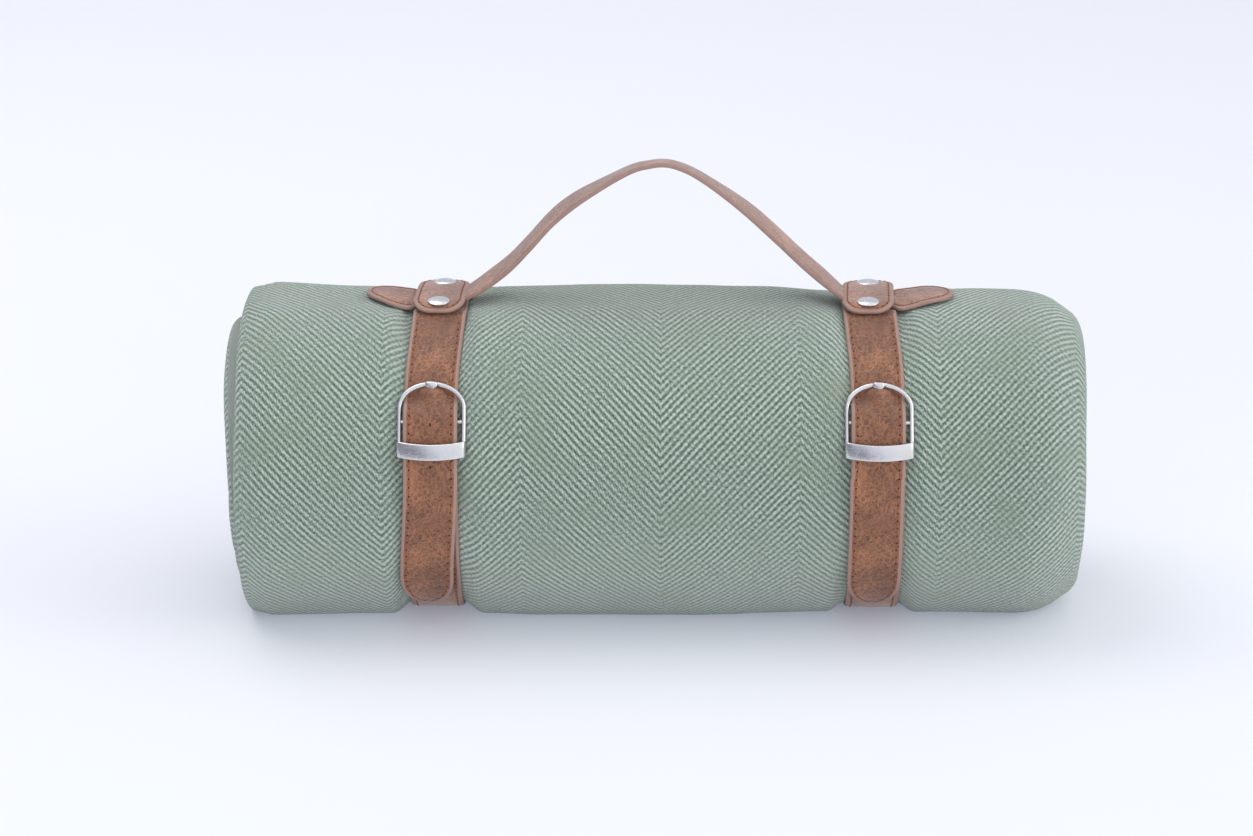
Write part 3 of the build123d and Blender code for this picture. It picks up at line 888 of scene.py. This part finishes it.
def make_strap(side):
    """One belt: the tip runs up the front under the keeper, over the pin, round the roll and back."""
    label = side_name(side)
    line = catmull(strap_line(), 620)
    along = lengths(line)
    total = along[-1]
    ways = directions(line, along)

    def place(s, w, h):
        (y, z), way = sample(s, along, line), sample(s, along, ways)
        ty, tz = way / np.linalg.norm(way)
        # The strap runs upwards at the front, so its outward side is to the left of its course.
        y, z = y - tz * h, z + ty * h
        if s < 160.0:
            # The hidden prong lifts the middle of the strap like a tent.
            u, v = to_pin(y, z)
            if 3.0 < u < 24.0:
                tent = 0.0704 * u + 1.15 + LEATHER / 2 + h
                over = max(tent - v, 0.0) * smooth(u, 3.0, 8.0) * (1 - smooth(u, 18.8, 20.6))
                y, z = from_pin(u, v + over * math.exp(-((w / 6.4) ** 2)))
        return (side * STRAP_X + w + strap_drift(y, z, side, s), y, z)

    half = STRAP_WIDTH / 2
    rows = rounded_end(half, TIP_LENGTH, 16)
    s = TIP_LENGTH + 2.0
    while s < total - 0.5:
        rows.append((s, half, 0.0, -1.0))
        s += 1.1 if 84.0 < s < 125.0 or s > total - 45.0 else 2.6
    rows.append((total, half, 0.0, -1.0))
    strap = strip(f"strap_{label}", rows, place, STRAP_PLIES, columns=14, crown=0.3)
    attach(strap, "carrier")
    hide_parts(f"strap_{label}_face", f"strap_{label}_lining")
    punched = []
    for u in (-2.4, -25.6):
        front = [i for i in range(len(line)) if along[i] < 132.0]
        at = min(front, key=lambda i: abs(to_pin(*line[i])[0] - u))
        top, under = Vector(place(along[at], 0.0, 1.5)), Vector(place(along[at], 0.0, 0.0))
        top.x += 0.5
        # On the left strap a dark disc of painted shade lies over each punched hole; on the right strap the
        # discs take the thread colour.
        punched.append((top, top - under, 0.95, 1 if side < 0 else 0))

    def hidden(s):
        """Under the other layer at the pin, or under the loop at the top."""
        _, y, z = place(s, 0.0, 0.0)
        return s > total - 52.0 or (abs(y) < 22.0 and z > 150.0)

    runs = seam_runs(rows, place, 3.3, hidden)
    stitches(f"strap_{label}_stitching", runs, "carrier", seed=4 + side, holes=punched)


# ---- handle loops and rivets

LOOP_RADIUS = 93.5
LOOP_HALF_LENGTH = 26.8
LOOP_SKEW = 0.045  # sideways for each mm backwards
RIVET_REACH = 18.4
RIVETS_BACK = 0.6
TAB_X = STRAP_X - 2.9


def loop_course(t, height):
    """Place of a point on a loop at distance t behind its middle: flat on top, turned down at both ends."""
    steps = np.linspace(0.0, abs(t), 40)
    level, turn = (3.0, 16.0) if t < 0 else (2.6, 19.5)
    tilt = np.radians(level + 31.0 * np.array([smooth(step, turn, turn + 8.5) for step in steps]))
    y, drop = (abs(t) / 39 * (way.sum() - 0.5 * (way[0] + way[-1])) for way in (np.cos(tilt), np.sin(tilt)))
    y, z = y + height * math.sin(tilt[-1]), AXIS_Z + LOOP_RADIUS + 0.4 - drop + height * math.cos(tilt[-1])
    return (math.copysign(y, t), z)


def make_loop(side):
    """Riveted plate that holds the handle's end on the strap."""
    label = side_name(side)

    def place(s, w, h):
        t = s - LOOP_HALF_LENGTH
        y, z = loop_course(t, h - 0.5 * (w / 14.0) ** 2 * abs(t) / LOOP_HALF_LENGTH)
        return (side * TAB_X + w + LOOP_SKEW * t, y, z)

    rows = plate_rows(14.5, 10.5, 2 * LOOP_HALF_LENGTH, 14)
    loop = strip(f"loop_{label}", rows, place, TOP_LIT_PLIES, columns=12, crown=0.35)
    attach(loop, "carrier")
    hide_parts(f"loop_{label}_face", f"loop_{label}_lining")
    stitches(f"loop_{label}_stitching", seam_runs(rows, place, 2.9), "carrier", 2.7, 3.7, 0.34, 9 + side)


def lathe(profile, centre, axis):
    """Points and faces of a turned form; profile is (radius, height) along the axis, closed at both ends."""
    count = 40
    axis = Vector(axis).normalized()
    across = axis.orthogonal().normalized()
    other = axis.cross(across)
    points = []
    for r, h in profile:
        for a in 2 * math.pi * np.arange(count) / count:
            out = across * math.cos(a) + other * math.sin(a)
            points.append(tuple(Vector(centre) + axis * h + out * max(r, 0.001)))
    return points, bar_faces([range(i * count, (i + 1) * count) for i in range(len(profile))])


def make_rivets(side):
    """Domed caps with a rolled rim on posts that tie a loop to its strap."""
    label = side_name(side)
    points, faces = [], []
    low = RING - LEATHER / 2 - 2.2 - LOOP_RADIUS
    profile = [(4.3, low), (4.5, low + 0.4), (4.3, low + 0.8), (1.9, low + 0.9)]
    profile += [(1.8, -0.4), (5.7, -0.35), (6.2, -0.1)]
    for k in range(13):
        a = 0.5 * math.pi * k / 12
        profile.append((6.3 * math.cos(a) if k < 12 else 0.0, 0.1 + 1.45 * math.sin(a) ** 1.25))
    for sign in (-1, 1):
        t = sign * RIVET_REACH - RIVETS_BACK
        y, z = loop_course(t, LEATHER / 2 + 0.1)
        lean = math.radians(6.0 if sign < 0 else 0.5)
        centre = (side * TAB_X + LOOP_SKEW * t, y, z)
        new, more = lathe(profile, centre, (0, sign * math.sin(lean), math.cos(lean)))
        faces += [tuple(v + len(points) for v in face) for face in more]
        points += new
    rivets = make_mesh(f"rivets_{label}", points, faces, [METAL])
    clean(rivets)
    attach(rivets, "carrier")
    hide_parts(f"rivet_{label}_caps", f"rivet_{label}_posts")


# ---- handle

ARCH_APEX_Z = 259.2


def arch_line():
    """Middle line of the grip as (x, z), from the hidden left end over the arch to the hidden right end."""
    seat = SEAT_Z + LEATHER / 2
    line = [(-137.0, seat), (-128.0, seat), (-119.0, seat), (-113.0, seat + 0.2), (-108.5, seat + 2.2)]
    line += [(-98.0, 188.3), (-82.7, 200.2), (-70.5, 213.0), (-59.8, 225.2), (-50.0, 234.0), (-37.0, 242.8)]
    line += [(-14.4, 255.2), (-3.0, 258.4), (5.2, ARCH_APEX_Z), (13.0, 257.6), (22.8, 253.2), (37.9, 243.2)]
    line += [(53.1, 231.6), (68.3, 217.8), (83.6, 203.1), (99.0, 189.6), (106.5, 183.2)]
    line += [(110.5, seat + 0.9), (115.0, seat), (121.0, seat), (129.0, seat), (137.0, seat)]
    return line


def make_grip():
    """Raised part of the handle: a middle surface with thickness laid on by Solidify."""
    line = catmull(arch_line(), 260)
    along = lengths(line)
    points, skin, faces = [], [], []
    columns = 10
    for i, (x, z) in enumerate(line):
        sides = smooth(abs(x - 4.0), 25.0, 60.0) * (1 - smooth(abs(x), 92.0, 110.0))
        tilt = math.radians(7.0 * sides - 8.0 * math.exp(-(((x - 4.0) / 36.0) ** 2)))
        half = 11.5 if abs(x) < 112 else 10.8
        for c in range(columns + 1):
            w = half * (2 * c / columns - 1)
            crown = 0.35 * (1 - (2 * c / columns - 1) ** 2)
            points.append((x, w * math.cos(tilt), z + w * math.sin(tilt) + crown))
            skin.append((along[i] * MM, w * MM, 0.0))
    for i in range(len(line) - 1):
        for c in range(columns):
            a = i * (columns + 1) + c
            faces.append((a, a + columns + 1, a + columns + 2, a + 1))
    grip = make_mesh("handle_grip", points, faces, TOP_LIT_PLIES, None, {"skin": skin})
    clean(grip)
    if sum(face.normal.z for face in grip.data.polygons) < 0:
        grip.data.flip_normals()
    thick = grip.modifiers.new("plies", "SOLIDIFY")
    thick.thickness = LEATHER * MM
    thick.offset = 0.0
    thick.material_offset = 2
    thick.material_offset_rim = 1
    bevel(grip, 0.55, 3, 50)
    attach(grip, "handle_grip")
    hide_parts("handle_grip_face", "handle_grip_lining")
    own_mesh(grip)


def make_handle_end(side):
    """The handle's outer end: a strip under the loop that widens into a round paddle resting on the roll."""
    label = side_name(side)
    start = 113.5
    tip = 163.5 if side < 0 else 169.5
    length = tip - start
    round_length = 19.0

    def place(s, w, h):
        x = tip - s
        rise = 3.4 * smooth(x, 137.0, 159.0)
        lean = math.radians(4.5) * (1 - smooth(x, 140.0, 158.0)) * smooth(x, 124.0, 138.0)
        curl = 0.5 * smooth(abs(w), 6.0, 15.5)
        z = SEAT_Z + LEATHER / 2 + rise + h * math.cos(lean) + w * math.sin(lean) - curl
        return (side * x, w * math.cos(lean), z)

    body = f"handle_end_{label}"
    rows = rounded_end(15.5, round_length, 14)
    s = round_length
    while s < length - 1.5:
        s += 1.5
        rows.append((min(s, length), 10.8 + 4.7 * smooth(tip - s, 131.0, 139.5), 0.0, -1.0))
    paddle = strip(body, rows, place, TOP_LIT_PLIES, columns=12, crown=0.2)
    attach(paddle, body)
    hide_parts(f"handle_end_{label}_face", f"handle_end_{label}_lining")
    runs = seam_runs(rows, place, 2.9, lambda s: s > length - 20.0)
    thread = stitches(f"{body}_stitching", runs, body, 2.8, 3.8, 0.34, 21 + side)
    for piece in (paddle, thread):
        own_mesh(piece)


# ---- patch and buckles

def make_patch():
    """Small plain leather label low on the front of the blanket."""
    radius, first, last = 92.7, -74.0, -59.0
    middle, half, corner = 16.0, 25.0, 2.2

    def place(s, w, h):
        y, z = polar(first + math.degrees(s / radius), radius + h * 0.42)
        return (middle + w, y, z)

    rows = plate_rows(half, corner, math.radians(last - first) * radius, 8, 4)
    patch = strip("blanket_patch", rows, place, [LEATHER_BACK, PAINT, LEATHER_BACK], columns=16, crown=0.0)
    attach(patch, "carrier")
    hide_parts("blanket_patch")


# How far each piece sits to the right of the strap's middle.
HOOP_SHIFT, KEEPER_SHIFT, PRONG_SHIFT = 0.5, 0.6, 0.4


def make_buckle_frame(side):
    """Arched hoop with a notch for the prong, and a bowed keeper bar that the strap's tip runs under."""
    label = side_name(side)
    points, faces = [], []
    half, straight = 17.8, 8.0
    hoop = [(-half, u) for u in np.linspace(-14.5, straight - 1.0, 10)]
    hoop += [(-half * math.cos(a), straight + 13.3 * math.sin(a)) for a in np.linspace(0.0, math.pi, 61)]
    hoop += [(half, u) for u in np.linspace(straight - 1.0, -14.5, 10)]
    section = [(-1.2, -0.7), (-0.8, -1.1), (0.8, -1.1), (1.2, -0.7), (1.2, 0.55), (0.95, 0.95), (0.5, 1.12),
               (-0.5, 1.12), (-0.95, 0.95), (-1.2, 0.55)]
    rings = []
    for (x, u), (dx, du) in zip(hoop, directions(np.array(hoop))):
        notch = 0.8 * (1 - smooth(abs(x), 2.7, 3.7)) if u > straight else 0.0
        ring = []
        for out, lift in section:
            v = lift - notch if lift > 0 else lift
            ring.append(len(points))
            points.append((side * STRAP_X + HOOP_SHIFT + x - du * out, *from_pin(u + dx * out, v)))
        rings.append(ring)
    faces += bar_faces(rings)

    half_bow = [(-18.05, -1.0), (-18.1, 1.6), (-17.8, 3.7), (-16.3, 4.85), (-11.0, 6.0), (-5.5, 6.75)]
    bow = catmull(half_bow + [(0.0, 7.0)] + [(-x, v) for x, v in reversed(half_bow)], 84)
    tall = 4.45
    section = [(-tall + 0.35, -0.75), (tall - 0.35, -0.75), (tall, -0.4), (tall, 0.35), (tall - 0.4, 0.75),
               (-tall + 0.4, 0.75), (-tall, 0.35), (-tall, -0.4)]
    turn = math.radians(13.0)
    rings = []
    for (x, v), (dx, dv) in zip(bow, directions(bow)):
        smile = 1.7 * (1 - min(abs(x) / 18.0, 1.0) ** 2)
        ring = []
        for up, out in section:
            px, pv = x - dv * out, v + dx * out
            ring.append(len(points))
            u = -16.0 + (up - smile + 0.9) * math.cos(turn) - pv * math.sin(turn)
            lift = (up - smile) * math.sin(turn) + pv * math.cos(turn)
            points.append((side * STRAP_X + KEEPER_SHIFT + 1.02 * px, *from_pin(u, lift)))
        rings.append(ring)
    faces += bar_faces(rings)
    buckle = make_mesh(f"buckle_frame_{label}", points, faces, [METAL])
    clean(buckle)
    bevel(buckle, 0.28, 2, 38)
    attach(buckle, f"buckle_{label}")
    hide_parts(f"buckle_{label}_frame")


def make_prong(side):
    """Tapered bar from the pin to a broad rounded tip lying in the hoop's notch."""
    label = side_name(side)
    points, faces, rings = [], [], []
    spans = ((-1.6, 1.7, 0.5), (-1.2, 1.9, 1.3), (1.2, 1.9, 1.3), (2.0, 1.7, 0.9), (18.6, 1.7, 0.8),
             (19.3, 2.7, 0.95), (19.9, 3.2, 1.15), (21.6, 3.25, 1.2), (22.1, 2.95, 1.0), (22.35, 2.2, 0.5))
    for u, half, thick in spans:
        v = 0.4 + 0.062 * max(u, 0.0)
        ring = []
        for k in range(16):
            a = 2 * math.pi * k / 16
            across, up = powered(math.cos(a), 0.55), powered(math.sin(a), 0.7)
            ring.append(len(points))
            points.append((side * STRAP_X + PRONG_SHIFT + half * across, *from_pin(u, v + thick * up)))
        rings.append(ring)
    faces += bar_faces(rings)
    prong = make_mesh(f"prong_bar_{label}", points, faces, [METAL])
    clean(prong)
    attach(prong, f"prong_{label}")
    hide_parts(f"buckle_{label}_prong")


def finish_pins():
    """The pins keep their CAD shape and get the plated finish."""
    for node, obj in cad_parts.items():
        if node.endswith("_pin"):
            obj.data.materials.clear()
            obj.data.materials.append(METAL)


build_blanket()
for hand in (-1, 1):
    make_strap(hand)
    make_loop(hand)
    make_rivets(hand)
    make_handle_end(hand)
    make_buckle_frame(hand)
    make_prong(hand)
make_grip()
make_patch()
finish_pins()
